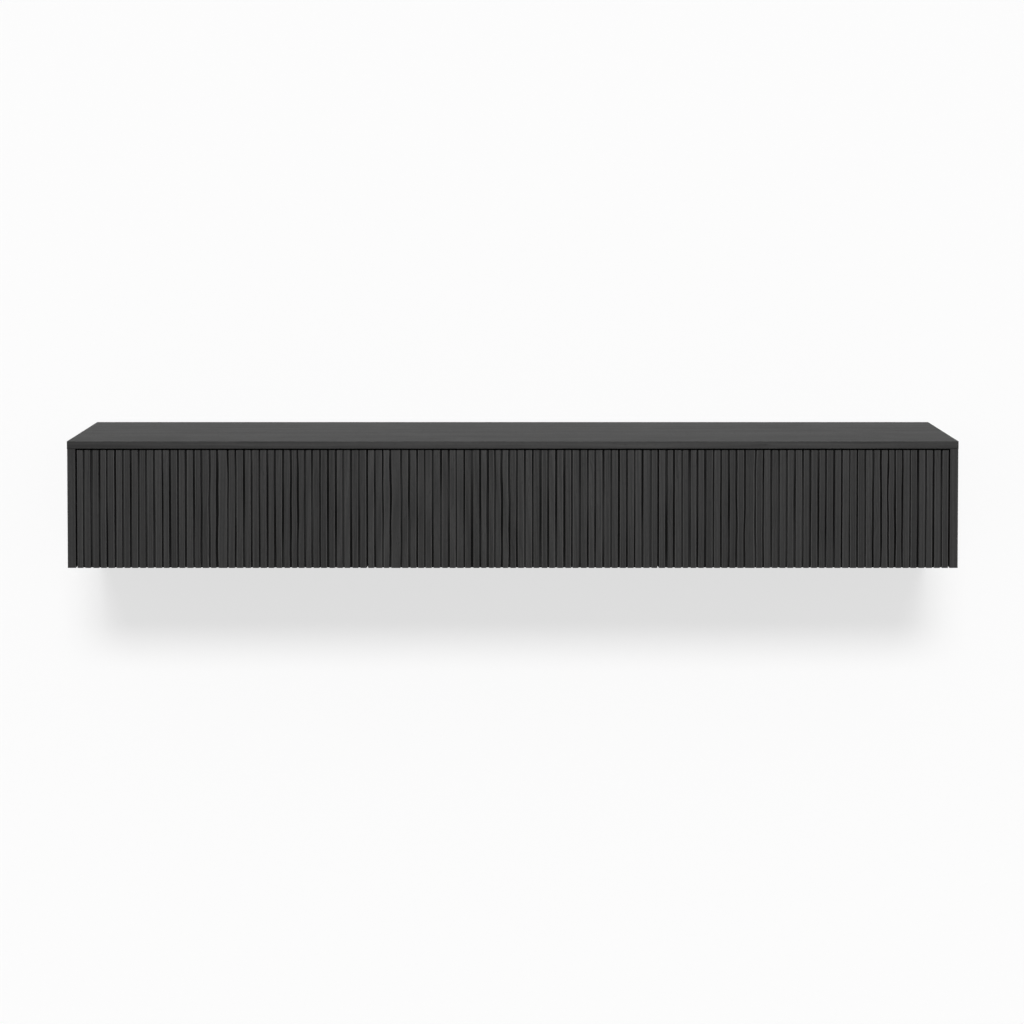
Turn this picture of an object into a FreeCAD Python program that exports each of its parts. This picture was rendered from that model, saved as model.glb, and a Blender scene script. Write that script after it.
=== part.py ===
import FreeCAD, Part
import os
from math import asin, atan2, cos, degrees, hypot, radians, sin

# Floating media console with three drop-down slatted fronts, hung on a pair of hook-over rails.
# Millimetres. X runs along the length, Y from the front to the wall, Z up. The origin is under the middle
# of the console, at the height of its underside, halfway between its front and the wall.

# Cabinet
width = 2100.0
depth = 400.0
height = 300.0
top_thickness = 18.0
top_overhang = 0.5
side_thickness = 19.0
bottom_thickness = 18.0
divider_thickness = 19.0
back_thickness = 16.0
back_recess = 22.0
back_groove_depth = 6.0
panel_easing = 0.8

# Slatted fronts
front_names = ["left", "centre", "right"]
slats_per_front = 37
groove_width = 4.5
slat_thickness = 8.0
slat_easing = 0.7
board_thickness = 16.0
shadow_gap = 3.0
end_gap = 4.0
joint_gap = 4.5
board_gap = 2.0
front_clearance = 2.5

# Knuckle hinges at the lower edge of each front
hinge_setback = 13.5
hinge_height = 4.5
hinge_width = 60.0
hinge_end_distance = 90.0
knuckle_count = 5
knuckle_radius = 3.5
knuckle_gap = 0.4
hinge_pin_radius = 1.5
leaf_thickness = 1.5
leaf_height = 20.0
cabinet_leaf_margin = 1.0
leaf_screw_spacing = 20.0
hinge_room = 0.3
strip_room = 0.5

# Brake stays
open_angle = 90.0
stay_plane = 14.0
stay_standoff = 14.0
stay_height = 150.0
stay_anchor_angle = 60.0
arm_radius = 3.0
arm_eye_radius = 6.0
arm_eye_cheek = 0.3
arm_stop_radius = 4.5
arm_stop_length = 4.0
rivet_radius = 2.0
rivet_head_radius = 3.4
rivet_head_height = 1.2
bracket_thickness = 2.0
bracket_width = 30.0
bracket_length = 40.0
bracket_screw_spacing = 26.0
bracket_screw_inset = 18.0
lug_radius = 7.0
swivel_length = 16.0
swivel_height = 14.0
swivel_side = 6.0
swivel_easing = 1.5
swivel_stud_radius = 3.0
swivel_shoulder_radius = 5.5
swivel_wall = 1.4
swivel_room = 0.1
swivel_standoff = 3.0
brake_screw_radius = 2.0
brake_head_radius = 4.2
brake_head_height = 1.6
brake_slot_width = 1.0
mount_plate_thickness = 2.0
mount_plate_length = 44.0
mount_plate_height = 16.0
mount_plate_corner = 4.8
mount_screw_spacing = 30.0
mount_screw_stagger = 3.0

# Push-to-open latches
latch_width = 16.0
latch_height = 15.0
latch_length = 62.0
latch_flange_length = 14.0
latch_flange_height = 3.0
latch_corner = 3.2
latch_screw_spacing = 24.0
latch_front_room = 0.5
latch_travel = 2.5
plunger_radius = 4.0
plunger_length = 46.0
plunger_dimple_radius = 2.6
plunger_dimple_depth = 0.5
strike_width = 34.0
strike_height = 14.0
strike_thickness = 1.5
strike_corner = 3.5
strike_screw_spacing = 22.0
strike_gap = 0.1

# Hook-over rails
rail_length = 1900.0
rail_thickness = 2.5
rail_height = 57.0
rail_base_height = 30.0
rail_top_room = 3.0
rail_depth = 12.5
rail_overlap = 21.0
rail_clearance = 0.3
rail_screw_count = 10
rail_screw_end = 50.0
wall_hole_radius = 3.25
wall_hole_spacings = [600.0, 1600.0]

# Cable outlets and passes
outlet_radius = 30.0
outlet_height = 70.0
grommet_wall = 2.5
grommet_flange_width = 4.0
grommet_flange_thickness = 2.0
grommet_easing = 0.8
pass_depth = 50.0
pass_height = 40.0

# Fasteners
small_head_radius = 2.8
small_shank_radius = 1.5
small_screw_length = 12.0
rail_screw_head_radius = 3.6
rail_screw_radius = 2.0
rail_screw_length = 15.0
long_head_radius = 4.6
long_shank_radius = 2.5
long_screw_length = 48.0
screw_recess_width = 0.8
screw_recess_reach = 0.62
screw_recess_depth = 0.9
dowel_radius = 4.0
dowel_in_face = 12.0
dowel_in_edge = 23.0
cam_radius = 7.5
cam_floor = 0.7
cam_distance = 34.0
cam_slot_width = 2.0
cam_slot_depth = 1.5
cam_bolt_radius = 3.0
cam_bolt_in_face = 11.0
running_clearance = 0.05
touch = 0.01

# Places of the joinery, as shares of the length from the carcass's front edge to its back panel, or of the
# height inside for the screws through the back
side_dowel_places = [0.08, 0.5, 0.9]
side_cam_places = [0.22, 0.76]
divider_dowel_places = [0.16, 0.68]
divider_cam_places = [0.32, 0.82]
divider_screw_places = [0.42, 0.76]
back_screw_places = [0.25, 0.5, 0.85]

# Places worked out from the dimensions
front_y = -depth / 2
wall_y = depth / 2
under_top = height - top_thickness
side_outer = width / 2 - top_overhang
side_inner = side_outer - side_thickness
back_rear = wall_y - back_recess
back_front = back_rear - back_thickness
board_front = front_y + slat_thickness
board_rear = board_front + board_thickness
carcass_front = board_rear + front_clearance
front_top = under_top - shadow_gap
front_count = len(front_names)
fronts_span = 2 * (side_inner - end_gap)
front_width = (fronts_span - (front_count - 1) * joint_gap) / front_count
front_pitch = front_width + joint_gap
slat_width = (front_width - (slats_per_front - 1) * groove_width) / slats_per_front
front_centres = [(index - (front_count - 1) / 2) * front_pitch for index in range(front_count)]
divider_centres = [(index + 1 - front_count / 2) * front_pitch for index in range(front_count - 1)]
bay_edges = [-side_inner]
for divider_x in divider_centres:
    bay_edges.append(divider_x - divider_thickness / 2)
    bay_edges.append(divider_x + divider_thickness / 2)
bay_edges.append(side_inner)
bays = [(bay_edges[2 * index], bay_edges[2 * index + 1]) for index in range(front_count)]
hinge_y = front_y + hinge_setback
hinge_z = hinge_height

# The stay's pivot on the front and its anchor in the cabinet lie on one circle about the hinge, so the arm
# turns by exactly half the angle of the front.
pivot_y = board_rear + stay_standoff
pivot_z = hinge_z + stay_height
stay_radius = hypot(pivot_y - hinge_y, pivot_z - hinge_z)
anchor_y = hinge_y + stay_radius * cos(radians(stay_anchor_angle))
anchor_z = hinge_z + stay_radius * sin(radians(stay_anchor_angle))
closed_angle = degrees(2 * asin(hypot(anchor_y - pivot_y, anchor_z - pivot_z) / (2 * stay_radius)))
arm_eye_thickness = 2 * (arm_radius + arm_eye_cheek)
swivel_back = stay_plane - mount_plate_thickness - swivel_standoff
open_reach = 2 * stay_radius * sin(radians((closed_angle + open_angle) / 2))

X = FreeCAD.Vector(1, 0, 0)
Y = FreeCAD.Vector(0, 1, 0)
Z = FreeCAD.Vector(0, 0, 1)


def point(x, y, z):
    return FreeCAD.Vector(x, y, z)


def block(x0, x1, y0, y1, z0, z1):
    return Part.makeBox(x1 - x0, y1 - y0, z1 - z0, point(x0, y0, z0))


def rod(radius, start, end):
    return Part.makeCylinder(radius, (end - start).Length, start, end - start)


def join(shapes):
    return shapes[0].multiFuse(shapes[1:]).removeSplitter()


def ease(shape, size, edges):
    return shape.makeFillet(size, edges)


def edges_along(shape, direction, keep):
    """Straight edges that run along a direction and whose middle passes the test."""
    chosen = []
    for edge in shape.Edges:
        middle = edge.CenterOfMass
        along = (edge.Vertexes[-1].Point - edge.Vertexes[0].Point).normalize()
        if abs(along.dot(direction)) > 0.999 and keep(middle):
            chosen.append(edge)
    return chosen


def save(name, solids):
    Part.makeCompound(solids).exportStep("parts/" + name + ".step")


def place(shape, at, direction):
    """Turn a shape made along +Z so that it runs along the direction from a point."""
    placed = shape.copy()
    placed.Placement = FreeCAD.Placement(at, FreeCAD.Rotation(Z, direction))
    return placed


def screw_body(head_radius, shank_radius, length):
    """Countersunk screw along +Z: its head is flush with z = 0."""
    head = head_radius - shank_radius
    outline = Part.makePolygon([
        point(0, 0, 0),
        point(head_radius, 0, 0),
        point(shank_radius, 0, head),
        point(shank_radius, 0, length - 2 * shank_radius),
        point(0, 0, length),
        point(0, 0, 0),
    ])
    return Part.Face(outline).revolve(point(0, 0, 0), Z, 360)


def screw_with_recess(body, head_radius):
    """The same screw with a cross recess in its head."""
    reach = screw_recess_reach * head_radius
    half = screw_recess_width / 2
    slots = [
        block(-reach, reach, -half, half, -1, screw_recess_depth),
        block(-half, half, -reach, reach, -1, screw_recess_depth),
    ]
    return body.cut(slots)


small_body = screw_body(small_head_radius, small_shank_radius, small_screw_length)
small_screw = screw_with_recess(small_body, small_head_radius)
rail_body = screw_body(rail_screw_head_radius, rail_screw_radius, rail_screw_length)
rail_screw = screw_with_recess(rail_body, rail_screw_head_radius)
long_body = screw_body(long_head_radius, long_shank_radius, long_screw_length)
long_screw = screw_with_recess(long_body, long_head_radius)


class Screws:
    """Screws of one kind: their finished solids and the plain bodies that cut their holes."""

    def __init__(self, body, finished):
        self.body = body
        self.finished = finished
        self.solids = []
        self.holes = []

    def add(self, at, direction):
        hole = place(self.body, at, direction)
        self.holes.append(hole)
        self.solids.append(place(self.finished, at, direction))
        return hole


# Joinery

dowels = []
cams = []
cam_bolts = []
cam_holes = []


def add_dowel(joint, into_face):
    """A dowel across a joint: short in the face of one board, long in the edge of the other."""
    dowels.append(rod(dowel_radius, joint - into_face * dowel_in_edge, joint + into_face * dowel_in_face))


def add_cam(joint, into_face, disc_face, out_of_face):
    """A cam disc let into a board's face, and its bolt across the joint into the next board."""
    centre = joint - into_face * cam_distance
    along = (disc_face - centre).dot(out_of_face)
    mouth = centre + out_of_face * along
    disc = rod(cam_radius, mouth, centre - out_of_face * (cam_bolt_radius + cam_floor))
    across = out_of_face.cross(into_face)
    corner = mouth - across * (cam_slot_width / 2) - into_face * (cam_radius / 2)
    slot = Part.makePolygon([
        corner,
        corner + across * cam_slot_width,
        corner + across * cam_slot_width + into_face * cam_radius,
        corner + into_face * cam_radius,
        corner,
    ])
    cams.append(disc.cut(Part.Face(slot).extrude(out_of_face * -cam_slot_depth)))
    bolt_start = joint - into_face * (cam_distance - cam_radius / 2)
    bolt = rod(cam_bolt_radius, bolt_start, joint + into_face * cam_bolt_in_face)
    cam_bolts.append(bolt.cut(disc))
    cam_holes.append(disc)
    cam_holes.append(bolt)


carcass_length = back_front - carcass_front


def along_depth(share):
    """A place between the carcass's front edge and its back panel."""
    return carcass_front + share * carcass_length


for side in (-1, 1):
    side_middle = side * (side_inner + side_thickness / 2)
    for share in side_dowel_places:
        add_dowel(point(side_middle, along_depth(share), under_top), Z)
        add_dowel(point(side * side_inner, along_depth(share), bottom_thickness / 2), X * side)
    for share in side_cam_places:
        add_cam(point(side_middle, along_depth(share), under_top), Z,
                point(side * side_inner, 0, 0), X * -side)
        add_cam(point(side * side_inner, along_depth(share), bottom_thickness / 2), X * side,
                point(0, 0, bottom_thickness), Z)

divider_screws = Screws(long_body, long_screw)
back_screws = Screws(long_body, long_screw)
for divider_x in divider_centres:
    hand = -1 if divider_x < 0 else 1
    face = divider_x + hand * divider_thickness / 2
    for share in divider_dowel_places:
        add_dowel(point(divider_x, along_depth(share), under_top), Z)
        add_dowel(point(divider_x, along_depth(share), bottom_thickness), -Z)
    for share in divider_cam_places:
        add_cam(point(divider_x, along_depth(share), under_top), Z, point(face, 0, 0), X * hand)
    for share in divider_screw_places:
        divider_screws.add(point(divider_x, along_depth(share), 0), Z)
    for share in back_screw_places:
        screw_z = bottom_thickness + share * (under_top - bottom_thickness)
        back_screws.add(point(divider_x, back_rear, screw_z), -Y)

joinery = dowels + cam_holes + divider_screws.holes + back_screws.holes

# Hinges

knuckle_length = (hinge_width - (knuckle_count - 1) * knuckle_gap) / knuckle_count
strip_start = hinge_y + knuckle_radius + strip_room


def knuckle(start, bore):
    end = start + knuckle_length
    tube = rod(knuckle_radius, point(start, hinge_y, hinge_z), point(end, hinge_y, hinge_z))
    return tube, rod(bore, point(start - 1, hinge_y, hinge_z), point(end + 1, hinge_y, hinge_z))


def hinge_leaf(centre_x, odd, side, strip_end, plate_y, plate_top, bore):
    """A leaf: every second knuckle, a strip that leaves them at side, and an upright screwed plate."""
    low = hinge_z + (knuckle_radius - leaf_thickness if side > 0 else -knuckle_radius)
    high = low + leaf_thickness
    left = centre_x - hinge_width / 2
    right = centre_x + hinge_width / 2
    shapes = [block(left, right, strip_start, strip_end, low, high)]
    shapes.append(block(left, right, plate_y, plate_y + leaf_thickness, low, plate_top))
    bores = []
    for index in range(odd, knuckle_count, 2):
        start = left + index * (knuckle_length + knuckle_gap)
        tube, hole = knuckle(start, bore)
        shapes.append(tube)
        shapes.append(block(start, start + knuckle_length, hinge_y, strip_start, low, high))
        bores.append(hole)
    return join(shapes).cut(bores)


hinge_centres = []
for centre_x in front_centres:
    for offset in (-(front_width / 2 - hinge_end_distance), 0, front_width / 2 - hinge_end_distance):
        hinge_centres.append(centre_x + offset)

cabinet_leaf_top = bottom_thickness - cabinet_leaf_margin
cabinet_leaf_middle = (hinge_z - knuckle_radius + cabinet_leaf_top) / 2
front_leaf_top = hinge_z + knuckle_radius + leaf_height
cabinet_screws = Screws(small_body, small_screw)
cabinet_leaves = []
hinge_pins = []
panel_recesses = []
for centre_x in hinge_centres:
    leaf = hinge_leaf(centre_x, 0, -1, carcass_front + leaf_thickness, carcass_front, cabinet_leaf_top,
                      hinge_pin_radius)
    holes = []
    for step in (-1, 0, 1):
        at = point(centre_x + step * leaf_screw_spacing, carcass_front, cabinet_leaf_middle)
        holes.append(cabinet_screws.add(at, Y))
    cabinet_leaves.append(leaf.cut(holes))
    half = hinge_width / 2
    hinge_pins.append(rod(hinge_pin_radius, point(centre_x - half, hinge_y, hinge_z),
                          point(centre_x + half, hinge_y, hinge_z)))
    panel_recesses.append(block(centre_x - half - hinge_room, centre_x + half + hinge_room, carcass_front - 1,
                                carcass_front + leaf_thickness, -1, cabinet_leaf_top + hinge_room))

# Mount plates and swivels of the brake stays

mount_plates = []
plate_holes = []
arm_line = point(0, anchor_y - pivot_y, anchor_z - pivot_z).normalize()


def mount_plate(wall_x, inward):
    """Plate screwed to the wall of a bay, with the stud that the swivel turns on."""
    arm_x = wall_x + inward * stay_plane
    near = sorted((wall_x, wall_x + inward * mount_plate_thickness))
    plate = block(near[0], near[1], anchor_y - mount_plate_length / 2, anchor_y + mount_plate_length / 2,
                  anchor_z - mount_plate_height / 2, anchor_z + mount_plate_height / 2)
    plate = ease(plate, mount_plate_corner, edges_along(plate, X, lambda middle: True))
    surface = wall_x + inward * mount_plate_thickness
    stud_end = arm_x - inward * (arm_radius + swivel_wall)
    shoulder_end = arm_x - inward * (swivel_back + swivel_room)
    foot = point(surface, anchor_y, anchor_z)
    stud = rod(swivel_stud_radius, foot, point(stud_end, anchor_y, anchor_z))
    shoulder = rod(swivel_shoulder_radius, foot, point(shoulder_end, anchor_y, anchor_z))
    holes = []
    for step in (-1, 1):
        at = foot + Y * (step * mount_screw_spacing / 2) + Z * (inward * mount_screw_stagger)
        holes.append(cabinet_screws.add(at, X * -inward))
    plate_holes.extend(holes)
    mount_plates.append(join([plate, stud, shoulder]).cut(holes))


def swivel(wall_x, inward):
    """Block that slides on the arm and turns on the stud, with its brake screw."""
    arm_x = wall_x + inward * stay_plane
    back = arm_x - inward * swivel_back
    face = arm_x + inward * swivel_side
    low, high = sorted((back, face))
    body = block(low, high, -swivel_length / 2, swivel_length / 2, -swivel_height / 2, swivel_height / 2)
    body = ease(body, swivel_easing, body.Edges)
    tilt = degrees(atan2(arm_line.z, arm_line.y))
    body.rotate(point(0, 0, 0), X, tilt)
    body.translate(point(0, anchor_y, anchor_z))
    anchor = point(arm_x, anchor_y, anchor_z)
    along = arm_line * swivel_length
    arm_bore = rod(arm_radius + running_clearance, anchor - along, anchor + along)
    stud_end = arm_x - inward * (arm_radius + swivel_wall - 2 * running_clearance)
    stud_bore = rod(swivel_stud_radius + running_clearance, point(back - inward, anchor_y, anchor_z),
                    point(stud_end, anchor_y, anchor_z))
    screw_shank = rod(brake_screw_radius, anchor, point(face, anchor_y, anchor_z)).cut(arm_bore)
    screw_head = rod(brake_head_radius, point(face, anchor_y, anchor_z),
                     point(face + inward * brake_head_height, anchor_y, anchor_z))
    low, high = sorted((face + inward * brake_head_height / 2, face + inward * (brake_head_height + 1)))
    slot = block(low, high, anchor_y - brake_head_radius, anchor_y + brake_head_radius,
                 anchor_z - brake_slot_width / 2, anchor_z + brake_slot_width / 2)
    screw = join([screw_shank, screw_head]).cut(slot)
    return [body.cut([arm_bore, stud_bore, screw_shank]), screw]


def stay_arm(wall_x, inward):
    """Round arm with an eye on the front's bracket and a stop that meets the swivel of an open front."""
    arm_x = wall_x + inward * stay_plane
    pivot = point(arm_x, pivot_y, pivot_z)
    half = X * (arm_eye_thickness / 2)
    stop_start = pivot + arm_line * (open_reach + swivel_length / 2 + touch)
    stop_end = stop_start + arm_line * arm_stop_length
    eye = rod(arm_eye_radius, pivot - half, pivot + half)
    bar = rod(arm_radius, pivot, stop_end)
    stop = rod(arm_stop_radius, stop_start, stop_end)
    bore = rod(rivet_radius + running_clearance, pivot - half * 2, pivot + half * 2)
    return [join([bar, eye, stop]).cut(bore)]


def stay_bracket(wall_x, inward, screws):
    """Plate on the front's inner face with a lug and the rivet that the arm's eye turns on."""
    arm_x = wall_x + inward * stay_plane
    lug_x = arm_x + inward * (arm_eye_thickness / 2 + swivel_room)
    lug_far = lug_x + inward * bracket_thickness
    low, high = sorted((lug_x, lug_x + inward * bracket_width))
    plate = block(low, high, board_rear, board_rear + bracket_thickness,
                  pivot_z - bracket_length / 2, pivot_z + bracket_length / 2)
    low, high = sorted((lug_x, lug_far))
    web = block(low, high, board_rear, pivot_y, pivot_z - lug_radius, pivot_z + lug_radius)
    lug = rod(lug_radius, point(low, pivot_y, pivot_z), point(high, pivot_y, pivot_z))
    head_start = arm_x - inward * (arm_eye_thickness / 2 + swivel_room)
    head_end = head_start - inward * rivet_head_height
    rivet = rod(rivet_radius, point(lug_x, pivot_y, pivot_z), point(head_start, pivot_y, pivot_z))
    head = rod(rivet_head_radius, point(head_start, pivot_y, pivot_z), point(head_end, pivot_y, pivot_z))
    holes = []
    for step in (-1, 1):
        at = point(lug_x + inward * bracket_screw_inset, board_rear + bracket_thickness,
                   pivot_z + step * bracket_screw_spacing / 2)
        holes.append(screws.add(at, -Y))
    return join([plate, web, lug, rivet, head]).cut(holes), holes


# Cabinet

latch_front = board_rear + strike_thickness + strike_gap + latch_travel + latch_front_room
latch_axis_z = under_top - latch_flange_height - latch_height / 2
latch_holes = []


def latch_body(centre_x):
    """Latch housing under the top, open at the front for its plunger, with a screwed flange behind."""
    left = centre_x - latch_width / 2
    right = centre_x + latch_width / 2
    latch_rear = latch_front + latch_length
    body = block(left, right, latch_front, latch_rear,
                 latch_axis_z - latch_height / 2, latch_axis_z + latch_height / 2)
    rim = edges_along(body, Y, lambda middle: middle.z < latch_axis_z)
    body = ease(body, latch_corner, rim)
    flange = block(centre_x - latch_width, centre_x + latch_width, latch_front + latch_flange_length,
                   latch_rear, latch_axis_z + latch_height / 2, under_top)
    neck = block(left, right, latch_front, latch_rear, latch_axis_z, under_top)
    bore_end = latch_front + plunger_length
    bore = rod(plunger_radius + running_clearance, point(centre_x, latch_front - 1, latch_axis_z),
               point(centre_x, bore_end, latch_axis_z))
    holes = []
    for step in (-1, 1):
        at = point(centre_x + step * latch_screw_spacing / 2,
                   (latch_front + latch_flange_length + latch_rear) / 2, under_top - latch_flange_height)
        holes.append(cabinet_screws.add(at, Z))
    latch_holes.extend(holes)
    return join([body, flange, neck]).cut([bore] + holes)


def plunger(centre_x):
    """Sprung plunger with a magnet face that stands just off the strike plate."""
    tip = board_rear + strike_thickness + strike_gap
    pin = rod(plunger_radius, point(centre_x, tip, latch_axis_z),
              point(centre_x, tip + plunger_length, latch_axis_z))
    dimple = rod(plunger_dimple_radius, point(centre_x, tip - 1, latch_axis_z),
                 point(centre_x, tip + plunger_dimple_depth, latch_axis_z))
    return [pin.cut(dimple)]


for low, high in bays:
    mount_plate(low, 1)
    mount_plate(high, -1)
latch_bodies = [latch_body(centre_x) for centre_x in front_centres]

rail_screws = Screws(rail_body, rail_screw)
cabinet_rail_top = under_top - rail_top_room
cabinet_rail_web = cabinet_rail_top - rail_base_height + rail_thickness
wall_lip_y = wall_y - rail_depth
cabinet_lip_y = wall_lip_y + rail_thickness + rail_clearance
rail_plate_y = back_rear + rail_thickness


def make_cabinet_rail():
    """Z rail screwed to the back panel, with its lip hanging down behind the wall rail's lip."""
    half = rail_length / 2
    web_low = cabinet_rail_web - rail_thickness
    lip_rear = cabinet_lip_y + rail_thickness
    rail = join([
        block(-half, half, back_rear, rail_plate_y, web_low, cabinet_rail_top),
        block(-half, half, back_rear, lip_rear, web_low, cabinet_rail_web),
        block(-half, half, cabinet_lip_y, lip_rear, web_low - rail_overlap, cabinet_rail_web),
    ])
    pitch = (rail_length - 2 * rail_screw_end) / (rail_screw_count - 1)
    screw_z = (cabinet_rail_web + cabinet_rail_top) / 2
    holes = []
    for index in range(rail_screw_count):
        at = point(-half + rail_screw_end + index * pitch, rail_plate_y, screw_z)
        holes.append(rail_screws.add(at, -Y))
    return rail.cut(holes), holes


def make_wall_rail():
    """Z rail screwed to the wall: the cabinet rail's web rests on the top of its lip."""
    half = rail_length / 2
    lip_top = cabinet_rail_web - rail_thickness
    web_low = lip_top - rail_overlap - rail_thickness - 2 * rail_clearance
    base_low = lip_top - rail_height
    rail = join([
        block(-half, half, wall_lip_y, wall_lip_y + rail_thickness, web_low, lip_top),
        block(-half, half, wall_lip_y, wall_y, web_low, web_low + rail_thickness),
        block(-half, half, wall_y - rail_thickness, wall_y, base_low, web_low + rail_thickness),
    ])
    hole_z = (base_low + web_low) / 2
    holes = []
    for spacing in wall_hole_spacings:
        for side in (-1, 1):
            x = side * spacing / 2
            holes.append(rod(wall_hole_radius, point(x, wall_y - 2 * rail_thickness, hole_z),
                             point(x, wall_y + 1, hole_z)))
    print("wall holes at z", hole_z)
    return rail.cut(holes)


cabinet_rail, rail_holes = make_cabinet_rail()
wall_rail = make_wall_rail()

top_panel = block(-width / 2, width / 2, front_y, wall_y, under_top, height)
top_panel = ease(top_panel, panel_easing, edges_along(top_panel, X, lambda middle: middle.y < 0)
                 + edges_along(top_panel, Y, lambda middle: True)
                 + edges_along(top_panel, Z, lambda middle: middle.y < 0))
top_panel = top_panel.cut(joinery + latch_holes)

bottom_panel = block(-side_inner, side_inner, carcass_front, back_rear, 0, bottom_thickness)
bottom_panel = bottom_panel.cut(joinery + panel_recesses).cut(cabinet_screws.holes)


def side_panel(side):
    inner, outer = sorted((side * side_inner, side * side_outer))
    panel = block(inner, outer, front_y, wall_y, 0, under_top)
    panel = ease(panel, panel_easing, edges_along(panel, Z, lambda middle: middle.y < 0)
                 + edges_along(panel, X, lambda middle: middle.y < 0 and middle.z < height / 2))
    groove_end = side * (side_inner + back_groove_depth)
    near, far = sorted((side * side_inner, groove_end))
    groove = block(near, far, back_front, back_rear, bottom_thickness, under_top)
    return panel.cut(joinery + plate_holes + [groove])


def divider(centre_x):
    half = divider_thickness / 2
    panel = block(centre_x - half, centre_x + half, carcass_front, back_front, bottom_thickness, under_top)
    cable_pass = block(centre_x - half, centre_x + half, back_front - pass_depth, back_front,
                       bottom_thickness, bottom_thickness + pass_height)
    return panel.cut(joinery + plate_holes + [cable_pass])


outlet_centres = [(low + high) / 2 for low, high in bays]
groove_reach = side_inner + back_groove_depth
back_panel = block(-groove_reach, groove_reach, back_front, back_rear, bottom_thickness, under_top)
outlets = [rod(outlet_radius, point(x, back_front - 1, outlet_height), point(x, back_rear + 1, outlet_height))
           for x in outlet_centres]
back_panel = back_panel.cut(outlets + back_screws.holes + rail_holes)


def grommet(centre_x):
    """Flanged plastic ring that lines a cable outlet."""
    flange_front = back_front - grommet_flange_thickness
    flange = rod(outlet_radius + grommet_flange_width, point(centre_x, flange_front, outlet_height),
                 point(centre_x, back_front, outlet_height))
    rim = [edge for edge in flange.Edges if edge.Closed and edge.CenterOfMass.y < back_front - 1]
    flange = ease(flange, grommet_easing, rim)
    sleeve = rod(outlet_radius, point(centre_x, flange_front, outlet_height),
                 point(centre_x, back_rear, outlet_height))
    bore = rod(outlet_radius - grommet_wall, point(centre_x, flange_front - 1, outlet_height),
               point(centre_x, back_rear + 1, outlet_height))
    return join([flange, sleeve]).cut(bore)


# Fronts


def slats(centre_x):
    """Upright slats glued to the board, with eased long edges."""
    solids = []
    for index in range(slats_per_front):
        left = centre_x - front_width / 2 + index * (slat_width + groove_width)
        slat = block(left, left + slat_width, front_y, board_front, 0, front_top)
        solids.append(ease(slat, slat_easing, edges_along(slat, Z, lambda middle: middle.y < front_y + 1)))
    return solids


def board_ends(centre_x):
    """A board runs past its slats towards a neighbouring front, so their joint is a fine line in a groove."""
    reach = (joint_gap - board_gap) / 2
    left = centre_x - front_width / 2
    right = centre_x + front_width / 2
    if centre_x > front_centres[0]:
        left -= reach
    if centre_x < front_centres[-1]:
        right += reach
    return left, right


def make_front(name, centre_x, bay):
    """One drop-down front with its slats, hinge leaves, stay brackets, strike plate and screws."""
    screws = Screws(small_body, small_screw)
    board_left, board_right = board_ends(centre_x)
    board = block(board_left, board_right, board_front, board_rear, 0, front_top)
    cuts = []
    leaves = []
    for hinge_x in hinge_centres:
        if abs(hinge_x - centre_x) > front_width / 2:
            continue
        leaf = hinge_leaf(hinge_x, 1, 1, board_rear, board_rear - leaf_thickness, front_leaf_top,
                          hinge_pin_radius + running_clearance)
        holes = []
        for step in (-1, 0, 1):
            at = point(hinge_x + step * leaf_screw_spacing, board_rear,
                       hinge_z + knuckle_radius + leaf_height / 2)
            holes.append(screws.add(at, -Y))
        leaves.append(leaf.cut(holes))
        left = hinge_x - hinge_width / 2 - hinge_room
        right = hinge_x + hinge_width / 2 + hinge_room
        cuts.append(block(left, right, hinge_y - knuckle_radius - hinge_room, board_rear + 1, -1,
                          hinge_z + knuckle_radius))
        cuts.append(block(left, right, board_rear - leaf_thickness, board_rear + 1,
                          0, front_leaf_top + hinge_room))
        cuts.extend(holes)
    brackets = []
    for wall_x, inward in ((bay[0], 1), (bay[1], -1)):
        bracket, holes = stay_bracket(wall_x, inward, screws)
        brackets.append(bracket)
        cuts.extend(holes)
    strike = block(centre_x - strike_width / 2, centre_x + strike_width / 2,
                   board_rear, board_rear + strike_thickness,
                   latch_axis_z - strike_height / 2, latch_axis_z + strike_height / 2)
    strike = ease(strike, strike_corner, edges_along(strike, Y, lambda middle: True))
    holes = []
    for step in (-1, 1):
        at = point(centre_x + step * strike_screw_spacing / 2, board_rear + strike_thickness, latch_axis_z)
        holes.append(screws.add(at, -Y))
    save(name + "_front_board", [board.cut(cuts).cut(holes)])
    save(name + "_front_slats", slats(centre_x))
    save(name + "_front_hinge_leaves", leaves)
    save(name + "_front_stay_brackets", brackets)
    save(name + "_front_strike_plate", [strike.cut(holes)])
    save(name + "_front_screws", screws.solids)


os.makedirs("parts", exist_ok=True)
save("top_panel", [top_panel])
save("bottom_panel", [bottom_panel])
save("back_panel", [back_panel])
save("left_side_panel", [side_panel(-1)])
save("right_side_panel", [side_panel(1)])
save("left_divider", [divider(divider_centres[0])])
save("right_divider", [divider(divider_centres[-1])])
save("cabinet_rail", [cabinet_rail])
save("wall_rail", [wall_rail])
save("rail_screws", rail_screws.solids)
save("carcass_dowels", dowels)
save("cam_discs", cams)
save("cam_bolts", cam_bolts)
save("divider_screws", divider_screws.solids)
save("back_screws", back_screws.solids)
save("cabinet_hinge_leaves", cabinet_leaves)
save("hinge_pins", hinge_pins)
save("stay_mount_plates", mount_plates)
save("cabinet_screws", cabinet_screws.solids)
for index, name in enumerate(front_names):
    save(name + "_cable_grommet", [grommet(outlet_centres[index])])
    save(name + "_latch_body", [latch_bodies[index]])
    save(name + "_latch_plunger", plunger(front_centres[index]))
    make_front(name, front_centres[index], bays[index])
    for hand, wall_x, inward in (("left", bays[index][0], 1), ("right", bays[index][1], -1)):
        save(name + "_front_" + hand + "_arm", stay_arm(wall_x, inward))
        save(name + "_front_" + hand + "_swivel", swivel(wall_x, inward))

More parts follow.
